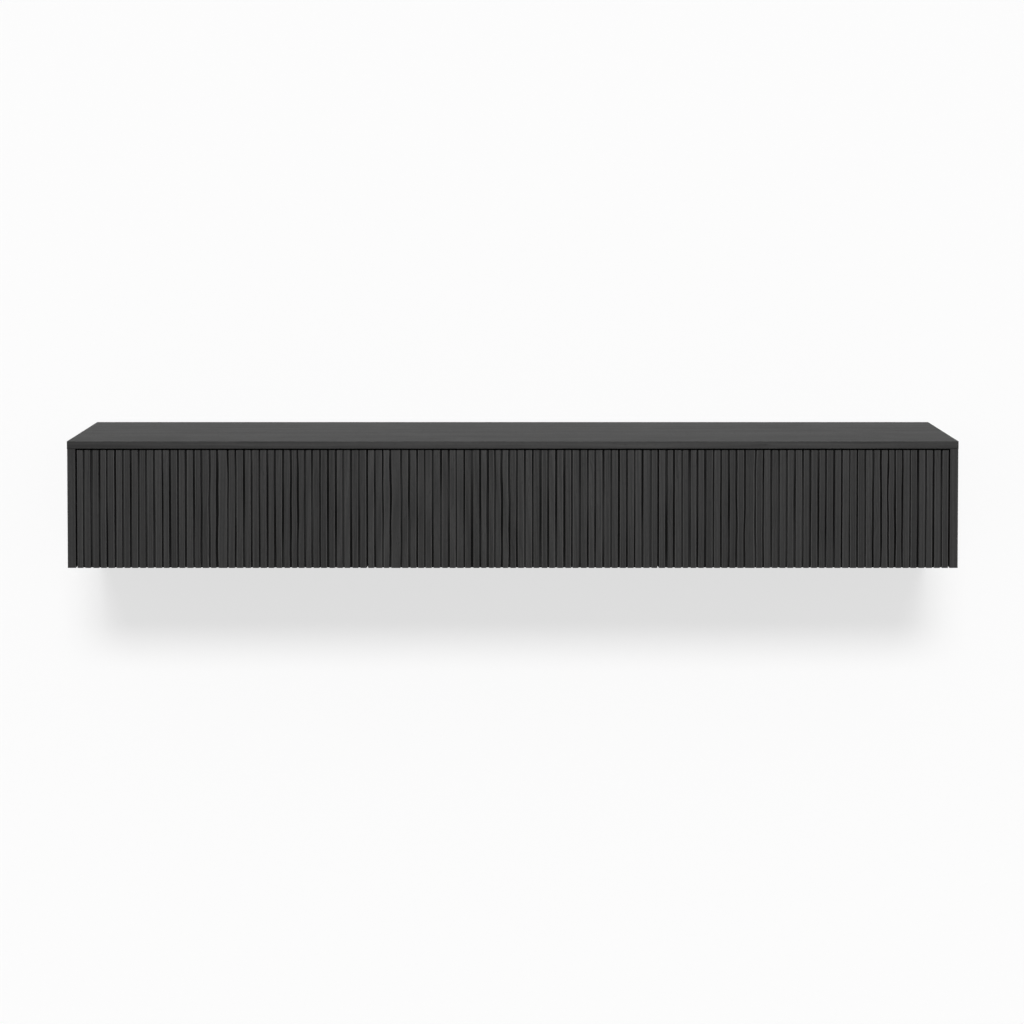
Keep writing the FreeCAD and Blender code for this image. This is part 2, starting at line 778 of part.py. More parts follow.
print("front width", front_width, "slat width", slat_width, "bays", bays)
print("hinge axis", hinge_y, hinge_z, "stay pivot", pivot_y, pivot_z, "anchor", anchor_y, anchor_z)
print("outlets", outlet_centres, outlet_height, "front centres", front_centres, "latch axis", latch_axis_z)
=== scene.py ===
import math
import bpy
import numpy as np
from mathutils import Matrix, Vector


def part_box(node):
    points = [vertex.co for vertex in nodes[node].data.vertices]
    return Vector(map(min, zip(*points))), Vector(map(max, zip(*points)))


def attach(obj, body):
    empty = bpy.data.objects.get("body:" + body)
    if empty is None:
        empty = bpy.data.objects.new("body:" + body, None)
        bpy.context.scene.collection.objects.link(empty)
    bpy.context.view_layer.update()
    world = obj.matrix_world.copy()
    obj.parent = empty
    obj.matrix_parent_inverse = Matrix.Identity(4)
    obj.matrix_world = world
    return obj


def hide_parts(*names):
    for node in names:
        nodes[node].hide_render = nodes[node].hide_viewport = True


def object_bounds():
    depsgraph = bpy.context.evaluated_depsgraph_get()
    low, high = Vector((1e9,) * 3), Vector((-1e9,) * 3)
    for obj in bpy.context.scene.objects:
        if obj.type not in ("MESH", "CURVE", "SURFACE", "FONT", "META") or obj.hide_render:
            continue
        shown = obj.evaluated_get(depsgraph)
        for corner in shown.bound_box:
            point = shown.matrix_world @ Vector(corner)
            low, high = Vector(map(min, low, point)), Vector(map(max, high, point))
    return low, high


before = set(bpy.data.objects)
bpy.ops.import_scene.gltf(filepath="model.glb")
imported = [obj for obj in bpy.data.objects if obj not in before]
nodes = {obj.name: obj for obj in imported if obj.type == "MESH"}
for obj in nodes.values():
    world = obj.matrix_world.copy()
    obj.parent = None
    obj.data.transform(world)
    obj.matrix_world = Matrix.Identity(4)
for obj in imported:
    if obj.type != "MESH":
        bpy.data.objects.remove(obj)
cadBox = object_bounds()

scene = bpy.context.scene
frontNames = ["left", "centre", "right"]
print("frame loaded:", len(nodes), "nodes")


# short ways to place shader nodes and link them

def addNode(tree, kind, **settings):
    node = tree.nodes.new(kind)
    for name, value in settings.items():
        setattr(node, name, value)
    return node


def plug(tree, value, socket):
    # a socket takes a link, a number or a colour
    if isinstance(value, bpy.types.NodeSocket):
        tree.links.new(value, socket)
    elif value is not None:
        socket.default_value = value


def calc(tree, operation, first, second=None, third=None, clamp=False):
    node = addNode(tree, "ShaderNodeMath", operation=operation, use_clamp=clamp)
    for value, socket in zip((first, second, third), node.inputs):
        plug(tree, value, socket)
    return node.outputs[0]


def vectorCalc(tree, operation, first, second=None):
    node = addNode(tree, "ShaderNodeVectorMath", operation=operation)
    for value, socket in zip((first, second), node.inputs):
        plug(tree, value, socket)
    return node.outputs[0]


def scaled(tree, vector, amount):
    node = addNode(tree, "ShaderNodeVectorMath", operation="SCALE")
    plug(tree, vector, node.inputs[0])
    plug(tree, amount, node.inputs["Scale"])
    return node.outputs[0]


def splitVector(tree, vector):
    node = addNode(tree, "ShaderNodeSeparateXYZ")
    plug(tree, vector, node.inputs[0])
    return node.outputs


def joinVector(tree, x=None, y=None, z=None):
    node = addNode(tree, "ShaderNodeCombineXYZ")
    for value, socket in zip((x, y, z), node.inputs):
        plug(tree, value, socket)
    return node.outputs[0]


def remap(tree, value, low, high, toLow=0.0, toHigh=1.0, smooth=False):
    node = addNode(tree, "ShaderNodeMapRange", interpolation_type="SMOOTHSTEP" if smooth else "LINEAR")
    for item, socket in zip((value, low, high, toLow, toHigh), node.inputs):
        plug(tree, item, socket)
    return node.outputs[0]


def noise(tree, vector, perMetre, detail=2.0, roughness=0.5, distortion=0.0):
    # perMetre: how often the pattern repeats in a metre along each axis
    node = addNode(tree, "ShaderNodeTexNoise")
    plug(tree, vectorCalc(tree, "MULTIPLY", vector, perMetre), node.inputs["Vector"])
    node.inputs["Scale"].default_value = 1.0
    node.inputs["Detail"].default_value = detail
    node.inputs["Roughness"].default_value = roughness
    node.inputs["Distortion"].default_value = distortion
    return node.outputs["Fac"]


def mixColour(tree, factor, first, second):
    node = addNode(tree, "ShaderNodeMix", data_type="RGBA", blend_type="MIX")
    plug(tree, factor, node.inputs[0])
    plug(tree, first, node.inputs[6])
    plug(tree, second, node.inputs[7])
    return node.outputs[2]


numberSocket, vectorSocket = "NodeSocketFloat", "NodeSocketVector"


def newGroup(name, inputs, outputs):
    # a group with named inputs (with their starting values) and outputs, and its two end nodes
    group = bpy.data.node_groups.new(name, "ShaderNodeTree")
    for label, kind, value in inputs:
        socket = group.interface.new_socket(label, in_out="INPUT", socket_type=kind)
        if value is not None:
            socket.default_value = value
    for label in outputs:
        group.interface.new_socket(label, in_out="OUTPUT", socket_type=numberSocket)
    return group, group.nodes.new("NodeGroupInput"), group.nodes.new("NodeGroupOutput")


# grain of oak: repeats in a metre across and along the fibres, and what each pattern adds to tone and relief
grain = {
    "bendRepeat": (9.0, 9.0, 4.0), "knotRepeat": (11.0, 11.0, 7.0), "knotStart": 0.60, "knotEnd": 0.76,
    "pithAway": 0.05, "pithLean": 0.03,
    "streakRepeat": (330.0, 330.0, 5.0), "fibreRepeat": (1500.0, 1500.0, 26.0),
    "poreRepeat": (2100.0, 2100.0, 70.0), "poreBar": 0.72, "poreSpan": 0.22, "earlyPores": 0.05,
    "poreRim": 0.08,
    "ringTone": 0.22, "streakTone": 0.60, "fibreTone": 0.30, "knotTone": 0.10,
    "ringHeight": 0.1, "fibreHeight": 0.35, "poreDepth": 0.7,
}


def makeOakGroup():
    # grain runs along the group's Z: broad streaks, fine fibres, dark pores and slow cathedral rings
    group, given, out = newGroup("oakGrain", [
        ("Vector", vectorSocket, None), ("Ring Width", numberSocket, 0.02),
        ("Pore Amount", numberSocket, 0.5), ("Bend", numberSocket, 0.010), ("Knot Bend", numberSocket, 0.03),
    ], ["Tone", "Pores", "Height"])
    place = given.outputs["Vector"]
    # the fibres bend a little everywhere, and more where a branch once grew
    bend = noise(group, place, grain["bendRepeat"])
    knot = remap(group, noise(group, place, grain["knotRepeat"], detail=1.0), grain["knotStart"],
                 grain["knotEnd"], smooth=True)
    reach = calc(group, "MULTIPLY_ADD", knot, given.outputs["Knot Bend"], given.outputs["Bend"])
    sideways = calc(group, "MULTIPLY", calc(group, "SUBTRACT", bend, 0.5), reach)
    place = vectorCalc(group, "ADD", place, joinVector(group, x=sideways))
    # rings: the distance from a slightly leaning pith line, divided by the ring width, folded into 0..1
    x, y, z = splitVector(group, place)
    leanY = calc(group, "ADD", y, calc(group, "MULTIPLY_ADD", z, grain["pithLean"], grain["pithAway"]))
    radius = calc(group, "SQRT", calc(group, "ADD", calc(group, "MULTIPLY", x, x),
                                      calc(group, "MULTIPLY", leanY, leanY)))
    turns = calc(group, "DIVIDE", radius, given.outputs["Ring Width"])
    ring = remap(group, calc(group, "PINGPONG", turns, 0.5), 0.0, 0.5, smooth=True)
    streak = noise(group, place, grain["streakRepeat"], detail=3.0, roughness=0.6)
    fibre = noise(group, place, grain["fibreRepeat"], roughness=0.6)
    # a pore is where fine noise passes a bar, which is lower in the early wood of each ring
    bar = calc(group, "MULTIPLY_ADD", given.outputs["Pore Amount"], -grain["poreSpan"], grain["poreBar"])
    bar = calc(group, "MULTIPLY_ADD", ring, -grain["earlyPores"], bar)
    pores = remap(group, noise(group, place, grain["poreRepeat"], detail=1.0), bar,
                  calc(group, "ADD", bar, grain["poreRim"]))
    tone = calc(group, "MULTIPLY", fibre, grain["fibreTone"])
    tone = calc(group, "MULTIPLY_ADD", streak, grain["streakTone"], tone)
    tone = calc(group, "MULTIPLY_ADD", ring, grain["ringTone"], tone)
    tone = calc(group, "MULTIPLY_ADD", knot, -grain["knotTone"], tone)
    height = calc(group, "MULTIPLY", ring, grain["ringHeight"])
    height = calc(group, "MULTIPLY_ADD", fibre, grain["fibreHeight"], height)
    height = calc(group, "MULTIPLY_ADD", pores, -grain["poreDepth"], height)
    plug(group, tone, out.inputs["Tone"])
    plug(group, pores, out.inputs["Pores"])
    plug(group, height, out.inputs["Height"])
    return group


edgeWear = {"repeat": (45.0, 45.0, 45.0), "noiseLow": 0.3, "noiseHigh": 0.7, "narrowest": 0.3, "widest": 1.5}


def makeEdgeGroup():
    # how near a point is to an edge of its box: of the three distances to the faces, the middle one
    group, given, out = newGroup("boxEdge", [
        ("Vector", vectorSocket, None), ("Centre", vectorSocket, None), ("Half Size", vectorSocket, None),
        ("Width", numberSocket, 0.002),
    ], ["Edge"])
    place = given.outputs["Vector"]
    away = vectorCalc(group, "ABSOLUTE", vectorCalc(group, "SUBTRACT", place, given.outputs["Centre"]))
    x, y, z = splitVector(group, vectorCalc(group, "SUBTRACT", given.outputs["Half Size"], away))
    nearest = calc(group, "MINIMUM", x, calc(group, "MINIMUM", y, z))
    furthest = calc(group, "MAXIMUM", x, calc(group, "MAXIMUM", y, z))
    middle = calc(group, "SUBTRACT", calc(group, "ADD", x, calc(group, "ADD", y, z)),
                  calc(group, "ADD", nearest, furthest))
    worn = noise(group, place, edgeWear["repeat"], detail=4.0, roughness=0.65)
    worn = remap(group, worn, edgeWear["noiseLow"], edgeWear["noiseHigh"], edgeWear["narrowest"],
                 edgeWear["widest"])
    width = calc(group, "MULTIPLY", given.outputs["Width"], worn)
    plug(group, remap(group, middle, width, 0.0), out.inputs["Edge"])
    return group


handling = {
    "smearRepeat": (5.0, 11.0, 7.0), "smearLow": 0.25, "smearHigh": 0.75,
    "speckRepeat": (900.0, 900.0, 900.0), "speckStart": 0.62, "speckEnd": 0.80,
    "cloudRepeat": (9.0, 14.0, 9.0), "cloudStart": 0.35, "cloudEnd": 0.75,
    "peelRepeat": (420.0, 420.0, 420.0),
}


def makeHandledGroup():
    # wiped and handled lacquer: cloudy smears, fine dust, and the slight orange peel of a sprayed coat
    group, given, out = newGroup("handled", [
        ("Vector", vectorSocket, None), ("Dust", numberSocket, 0.5),
    ], ["Smear", "Dust", "Height"])
    place = given.outputs["Vector"]
    smear = noise(group, place, handling["smearRepeat"], detail=4.0, roughness=0.6, distortion=0.6)
    speck = remap(group, noise(group, place, handling["speckRepeat"], detail=1.0), handling["speckStart"],
                  handling["speckEnd"])
    cloud = remap(group, noise(group, place, handling["cloudRepeat"], detail=3.0), handling["cloudStart"],
                  handling["cloudEnd"])
    dust = calc(group, "MULTIPLY", speck, cloud)
    plug(group, remap(group, smear, handling["smearLow"], handling["smearHigh"]), out.inputs["Smear"])
    plug(group, calc(group, "MULTIPLY", dust, given.outputs["Dust"]), out.inputs["Dust"])
    plug(group, noise(group, place, handling["peelRepeat"]), out.inputs["Height"])
    return group


plating = {
    "alongRepeat": 40.0, "cloudRepeat": (60.0, 60.0, 60.0), "pitRepeat": (1300.0, 1300.0, 1300.0),
    "pitStart": 0.68, "pitEnd": 0.78, "cloudTone": 0.7, "lineTone": 0.3, "cloudRough": 0.6, "pitRough": 0.4,
    "lineHeight": 0.5, "pitDepth": 0.6,
}


def makeMetalGroup():
    # drawn or plated steel: lines along the group's X, plating cloud, and pin-prick pits
    group, given, out = newGroup("platedMetal", [
        ("Vector", vectorSocket, None), ("Line Scale", numberSocket, 2500.0),
    ], ["Tone", "Rough", "Height"])
    place = given.outputs["Vector"]
    across = given.outputs["Line Scale"]
    lines = noise(group, place, joinVector(group, plating["alongRepeat"], across, across))
    cloud = noise(group, place, plating["cloudRepeat"], detail=4.0, roughness=0.6)
    pits = remap(group, noise(group, place, plating["pitRepeat"], detail=1.0), plating["pitStart"],
                 plating["pitEnd"])
    tone = calc(group, "MULTIPLY_ADD", cloud, plating["cloudTone"],
                calc(group, "MULTIPLY", lines, plating["lineTone"]))
    rough = calc(group, "MULTIPLY_ADD", pits, plating["pitRough"],
                 calc(group, "MULTIPLY", cloud, plating["cloudRough"]))
    height = calc(group, "MULTIPLY_ADD", pits, -plating["pitDepth"],
                  calc(group, "MULTIPLY", lines, plating["lineHeight"]))
    plug(group, tone, out.inputs["Tone"])
    plug(group, rough, out.inputs["Rough"])
    plug(group, height, out.inputs["Height"])
    return group


groups = {
    "oak": makeOakGroup(),
    "edge": makeEdgeGroup(),
    "handled": makeHandledGroup(),
    "metal": makeMetalGroup(),
}
print("node groups built")


# materials

def newMaterial(name):
    material = bpy.data.materials.new(name)
    material.use_nodes = True
    tree = material.node_tree
    tree.nodes.clear()
    shader = addNode(tree, "ShaderNodeBsdfPrincipled")
    end = addNode(tree, "ShaderNodeOutputMaterial")
    tree.links.new(shader.outputs[0], end.inputs[0])
    return material, tree, shader


def useGroup(tree, name, **values):
    node = addNode(tree, "ShaderNodeGroup", node_tree=groups[name])
    for label, value in values.items():
        plug(tree, value, node.inputs[label.replace("_", " ")])
    return node


def objectPlace(tree):
    return addNode(tree, "ShaderNodeTexCoord").outputs["Object"]


def turned(tree, vector, turn, shift):
    node = addNode(tree, "ShaderNodeMapping")
    plug(tree, vector, node.inputs["Vector"])
    plug(tree, shift, node.inputs["Location"])
    plug(tree, turn, node.inputs["Rotation"])
    return node.outputs[0]


def bumped(tree, shader, height, strength, distance):
    node = addNode(tree, "ShaderNodeBump")
    plug(tree, strength, node.inputs["Strength"])
    plug(tree, distance, node.inputs["Distance"])
    plug(tree, height, node.inputs["Height"])
    tree.links.new(node.outputs[0], shader.inputs["Normal"])


def grey(value, warmth=0.0):
    return (value * (1 + warmth), value, value * (1 - warmth), 1.0)


def boxEdge(tree, place, node, width):
    # wear along the edges of a node's own box
    low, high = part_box(node)
    centre = [(a + b) / 2 for a, b in zip(low, high)]
    half = [(b - a) / 2 for a, b in zip(low, high)]
    return useGroup(tree, "edge", Vector=place, Centre=centre, Half_Size=half, Width=width).outputs["Edge"]


alongX = (0.0, math.radians(90), 0.0)
alongZ = (0.0, 0.0, 0.0)

# black-stained oak: dark and light stain, roughness, and how strongly pores, fibres and clouds stand out;
# how much lighter the front edge is drawn (painted light), and how wide painted shade stands dark along the
# joint under the top
oakFinishes = {
    "top": {"dark": 0.0195, "light": 0.036, "rough": 0.615, "roughSpan": 0.07, "pores": 0.25,
            "poreMix": 0.55, "relief": 0.08, "reliefDepth": 0.00008, "specular": 0.15, "turn": alongX,
            "ringWidth": 0.016, "cloud": 0.16, "frontEdgeLight": 0.46, "footShadowLine": 0.0012, "headShadowLine": 0.0},
    "side": {"dark": 0.018, "light": 0.036, "rough": 0.55, "roughSpan": 0.12, "pores": 0.45,
             "poreMix": 0.6, "relief": 0.25, "reliefDepth": 0.00012, "specular": 0.22, "turn": alongZ,
             "ringWidth": 0.009, "cloud": 0.10, "frontEdgeLight": 0.0, "footShadowLine": 0.0, "headShadowLine": 0.0010},
    "underside": {"dark": 0.018, "light": 0.036, "rough": 0.55, "roughSpan": 0.12, "pores": 0.4,
                  "poreMix": 0.6, "relief": 0.22, "reliefDepth": 0.00012, "specular": 0.22, "turn": alongX,
                  "ringWidth": 0.011, "cloud": 0.10, "frontEdgeLight": 0.0, "footShadowLine": 0.0, "headShadowLine": 0.0},
}
# what all the oak panels share; along the front edge the painted light's strength is a sine, from nought to
# the given turn, plus the given least
oakLook = {
    "start": (0.37, 0.11, 0.23), "toneLow": 0.38, "toneHigh": 0.78, "warmDark": 0.005, "warmLight": 0.01,
    "poreShade": 0.35, "poreRough": 0.18, "edgeWidth": 0.0022, "edgeMix": 0.5, "edgeGain": 0.010,
    "edgeWarmth": 0.02, "edgeRough": 0.10, "bandDepth": 0.0004, "middleLightTurn": 2.67, "middleLightLeast": 0.1,
    "gapShadowMix": 0.85, "gapShadowTone": 0.002, "dust": 0.5, "dustMix": 0.10, "dustShade": 0.35,
    "dustWarmth": 0.03, "peel": 0.15,
}
paintedSideLight = {"left": 0.92, "right": 1.01}  # painted light: the left side is drawn darker than the right, as light falls off towards the left


def oakMaterial(name, finish, node, shade=1.0):
    # shade makes a whole board darker or lighter than its neighbours; for the side panels this is painted
    # light, as light falls off across the console
    look = oakLook
    material, tree, shader = newMaterial(name)
    low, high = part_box(node)
    place = objectPlace(tree)
    oak = useGroup(tree, "oak", Vector=turned(tree, place, finish["turn"], look["start"]),
                   Ring_Width=finish["ringWidth"], Pore_Amount=finish["pores"])
    life = useGroup(tree, "handled", Vector=place, Dust=look["dust"])
    edge = boxEdge(tree, place, node, look["edgeWidth"])
    stain = mixColour(tree, remap(tree, oak.outputs["Tone"], look["toneLow"], look["toneHigh"]),
                      grey(finish["dark"], look["warmDark"]), grey(finish["light"], look["warmLight"]))
    stain = mixColour(tree, calc(tree, "MULTIPLY", oak.outputs["Pores"], finish["poreMix"]), stain,
                      grey(finish["dark"] * look["poreShade"]))
    stain = mixColour(tree, calc(tree, "MULTIPLY", edge, look["edgeMix"]), stain,
                      grey(finish["light"] + look["edgeGain"], look["edgeWarmth"]))
    # painted light: the front edge is drawn lighter than the top, most of all near its middle, where the
    # light falls strongest
    x, y, z = splitVector(tree, place)
    frontEdgeLight = calc(tree, "LESS_THAN", y, low.y + look["bandDepth"])
    middleLight = calc(tree, "SINE", remap(tree, x, low.x, high.x, 0.0, look["middleLightTurn"]))
    frontEdgeLight = calc(tree, "MULTIPLY", frontEdgeLight, calc(tree, "ADD", middleLight, look["middleLightLeast"]))
    cloudy = calc(tree, "MULTIPLY_ADD", life.outputs["Smear"], finish["cloud"], 1 - finish["cloud"] / 2)
    level = calc(tree, "MULTIPLY", cloudy, calc(tree, "MULTIPLY_ADD", frontEdgeLight, finish["frontEdgeLight"], 1.0))
    stain = scaled(tree, stain, calc(tree, "MULTIPLY", level, shade))
    # painted shade in the joint under the top: a dark line along the top's lower arris and the head of each
    # side, where the shadow gap falls
    gapShadow = calc(tree, "MAXIMUM", calc(tree, "LESS_THAN", z, low.z + finish["footShadowLine"]),
                 calc(tree, "GREATER_THAN", z, high.z - finish["headShadowLine"]))
    stain = mixColour(tree, calc(tree, "MULTIPLY", gapShadow, look["gapShadowMix"]), stain, grey(look["gapShadowTone"]))
    stain = mixColour(tree, calc(tree, "MULTIPLY", life.outputs["Dust"], look["dustMix"]), stain,
                      grey(look["dustShade"], look["dustWarmth"]))
    plug(tree, stain, shader.inputs["Base Color"])
    rough = calc(tree, "MULTIPLY_ADD", life.outputs["Smear"], finish["roughSpan"], finish["rough"])
    rough = calc(tree, "MULTIPLY_ADD", oak.outputs["Pores"], look["poreRough"], rough)
    rough = calc(tree, "MULTIPLY_ADD", edge, -look["edgeRough"], rough, clamp=True)
    plug(tree, rough, shader.inputs["Roughness"])
    shader.inputs["Specular IOR Level"].default_value = finish["specular"]
    height = calc(tree, "MULTIPLY_ADD", life.outputs["Height"], look["peel"], oak.outputs["Height"])
    bumped(tree, shader, height, finish["relief"], finish["reliefDepth"])
    return material


# melamine of the carcass and of the fronts' inner faces: printed fine grain, pressed texture, chipped edges
boardFinish = {
    "start": (0.1, 0.4, 0.2), "ringWidth": 0.013, "pores": 0.35, "toneLow": 0.35, "toneHigh": 0.8,
    "dark": 0.014, "light": 0.034, "warmth": 0.02, "edgeWidth": 0.0012, "edgeMix": 0.4, "edgeShade": 0.06,
    "edgeWarmth": 0.05, "dust": 1.0, "dustMix": 0.16, "dustShade": 0.4, "dustWarmth": 0.03,
    "rough": 0.5, "roughSpan": 0.14, "specular": 0.18, "relief": 0.2, "reliefDepth": 0.00006,
    "faceMargin": 0.0002, "grooveRepeat": (57.0, 0.0, 4.0), "grooveLow": 0.40, "grooveHigh": 0.64,
    "grooveShadeDark": 0.001, "grooveShadeLight": 0.024, "grooveRough": 0.9,
}


def boardMaterial(name, node, faceLine=None):
    # with a face line, all that lies in front of it is drawn near black: painted shade in the grooves
    # between the slats
    finish = boardFinish
    material, tree, shader = newMaterial(name)
    place = objectPlace(tree)
    oak = useGroup(tree, "oak", Vector=turned(tree, place, alongX, finish["start"]),
                   Ring_Width=finish["ringWidth"], Pore_Amount=finish["pores"])
    life = useGroup(tree, "handled", Vector=place, Dust=finish["dust"])
    edge = boxEdge(tree, place, node, finish["edgeWidth"])
    tone = mixColour(tree, remap(tree, oak.outputs["Tone"], finish["toneLow"], finish["toneHigh"]),
                     grey(finish["dark"]), grey(finish["light"], finish["warmth"]))
    tone = mixColour(tree, calc(tree, "MULTIPLY", edge, finish["edgeMix"]), tone,
                     grey(finish["edgeShade"], finish["edgeWarmth"]))
    tone = mixColour(tree, calc(tree, "MULTIPLY", life.outputs["Dust"], finish["dustMix"]), tone,
                     grey(finish["dustShade"], finish["dustWarmth"]))
    rough = calc(tree, "MULTIPLY_ADD", life.outputs["Smear"], finish["roughSpan"], finish["rough"])
    if faceLine is not None:
        inGroove = calc(tree, "LESS_THAN", splitVector(tree, place)[1], faceLine)
        streaks = remap(tree, noise(tree, place, finish["grooveRepeat"], detail=1.0), finish["grooveLow"],
                        finish["grooveHigh"])
        paintedGrooveShade = mixColour(tree, streaks, grey(finish["grooveShadeDark"]), grey(finish["grooveShadeLight"]))
        tone = mixColour(tree, inGroove, tone, paintedGrooveShade)
        rough = calc(tree, "MAXIMUM", rough, calc(tree, "MULTIPLY", inGroove, finish["grooveRough"]))
    plug(tree, tone, shader.inputs["Base Color"])
    plug(tree, rough, shader.inputs["Roughness"])
    shader.inputs["Specular IOR Level"].default_value = finish["specular"]
    height = calc(tree, "ADD", oak.outputs["Height"], life.outputs["Height"])
    bumped(tree, shader, height, finish["relief"], finish["reliefDepth"])
    return material


metalFinishes = {
    "zinc": {"dark": 0.40, "light": 0.56, "warmth": -0.02, "rough": 0.36, "span": 0.22, "lines": 1800.0},
    "screw": {"dark": 0.26, "light": 0.46, "warmth": 0.10, "rough": 0.30, "span": 0.22, "lines": 3000.0},
    "nickel": {"dark": 0.48, "light": 0.66, "warmth": 0.03, "rough": 0.22, "span": 0.22, "lines": 3200.0},
    "cast": {"dark": 0.30, "light": 0.48, "warmth": 0.01, "rough": 0.38, "span": 0.25, "lines": 900.0},
}
# what all the metals share
metalLook = {"toneLow": 0.3, "toneHigh": 0.7, "dust": 0.6, "smearRough": 0.08, "relief": 0.18,
             "reliefDepth": 0.00003}


def metalMaterial(name, finish):
    look = metalLook
    material, tree, shader = newMaterial(name)
    place = objectPlace(tree)
    metal = useGroup(tree, "metal", Vector=place, Line_Scale=finish["lines"])
    life = useGroup(tree, "handled", Vector=place, Dust=look["dust"])
    tone = mixColour(tree, remap(tree, metal.outputs["Tone"], look["toneLow"], look["toneHigh"]),
                     grey(finish["dark"], finish["warmth"]), grey(finish["light"], finish["warmth"]))
    plug(tree, tone, shader.inputs["Base Color"])
    shader.inputs["Metallic"].default_value = 1.0
    rough = calc(tree, "MULTIPLY_ADD", metal.outputs["Rough"], finish["span"], finish["rough"])
    rough = calc(tree, "MULTIPLY_ADD", life.outputs["Smear"], look["smearRough"], rough, clamp=True)
    plug(tree, rough, shader.inputs["Roughness"])
    bumped(tree, shader, metal.outputs["Height"], look["relief"], look["reliefDepth"])
    return material


plasticFinishes = {
    "black": {"dark": 0.010, "light": 0.018, "rough": 0.52},
    "grey": {"dark": 0.075, "light": 0.105, "rough": 0.46},
}
# what both plastics share
plasticLook = {"flowRepeat": (70.0, 30.0, 70.0), "dust": 1.0, "dustMix": 0.2, "dustShade": 0.4,
               "roughSpan": 0.12, "sparkRepeat": (2400.0, 2400.0, 2400.0), "relief": 0.25,
               "reliefDepth": 0.00004}


def plasticMaterial(name, finish):
    # spark-eroded mould texture, slight flow marks and dust
    look = plasticLook
    material, tree, shader = newMaterial(name)
    place = objectPlace(tree)
    life = useGroup(tree, "handled", Vector=place, Dust=look["dust"])
    flow = noise(tree, place, look["flowRepeat"], detail=3.0)
    tone = mixColour(tree, flow, grey(finish["dark"]), grey(finish["light"]))
    tone = mixColour(tree, calc(tree, "MULTIPLY", life.outputs["Dust"], look["dustMix"]), tone,
                     grey(look["dustShade"]))
    plug(tree, tone, shader.inputs["Base Color"])
    rough = calc(tree, "MULTIPLY_ADD", life.outputs["Smear"], look["roughSpan"], finish["rough"])
    plug(tree, rough, shader.inputs["Roughness"])
    bumped(tree, shader, noise(tree, place, look["sparkRepeat"]), look["relief"], look["reliefDepth"])
    return material


beechFinish = {"dark": (0.42, 0.27, 0.16, 1), "light": (0.62, 0.44, 0.29, 1), "rough": 0.7,
               "ringWidth": 0.004, "pores": 0.2, "relief": 0.3, "reliefDepth": 0.0001}


def beechMaterial(name, finish):
    material, tree, shader = newMaterial(name)
    oak = useGroup(tree, "oak", Vector=objectPlace(tree), Ring_Width=finish["ringWidth"],
                   Pore_Amount=finish["pores"])
    plug(tree, mixColour(tree, oak.outputs["Tone"], finish["dark"], finish["light"]),
         shader.inputs["Base Color"])
    shader.inputs["Roughness"].default_value = finish["rough"]
    bumped(tree, shader, oak.outputs["Height"], finish["relief"], finish["reliefDepth"])
    return material


# the slats' stain; span: how far the slats differ in shade; rim: where the edges carry rubbed-thin stain and
# a painted highlight, as a share of the half width, how strongly, and the two numbers that deal this out
# from slat to slat and side to side; groove shade: painted shade, how deep in a groove the side faces turn
# black
slatFinish = {
    "start": (0.2, 0.3, 0.1), "toneJump": (0.0, 0.4, 1.7), "ringWidth": 0.006, "bend": 0.008,
    "knotBend": 0.05, "toneLow": 0.38, "toneHigh": 0.80, "dark": 0.0205, "light": 0.0372, "warmDark": 0.005,
    "warmLight": 0.01, "pores": 0.40, "poreMix": 0.45, "poreShade": 0.3, "poreRough": 0.2, "rough": 0.58,
    "roughSpan": 0.10, "specular": 0.18, "relief": 0.3, "reliefDepth": 0.00015, "dust": 0.4, "span": 0.20,
    "footShade": 0.10, "rimStart": 0.72, "rimEnd": 0.96, "rimLeast": 0.10, "rimMost": 0.85,
    "rimWearHighlight": 0.070, "rimWarmth": 0.01, "rimJump": 7.3, "otherRim": 0.57,
    "endGrain": 0.0002, "endAndGrooveShade": 0.002, "grooveShadeStart": 0.0014, "grooveShadeEnd": 0.0038,
}


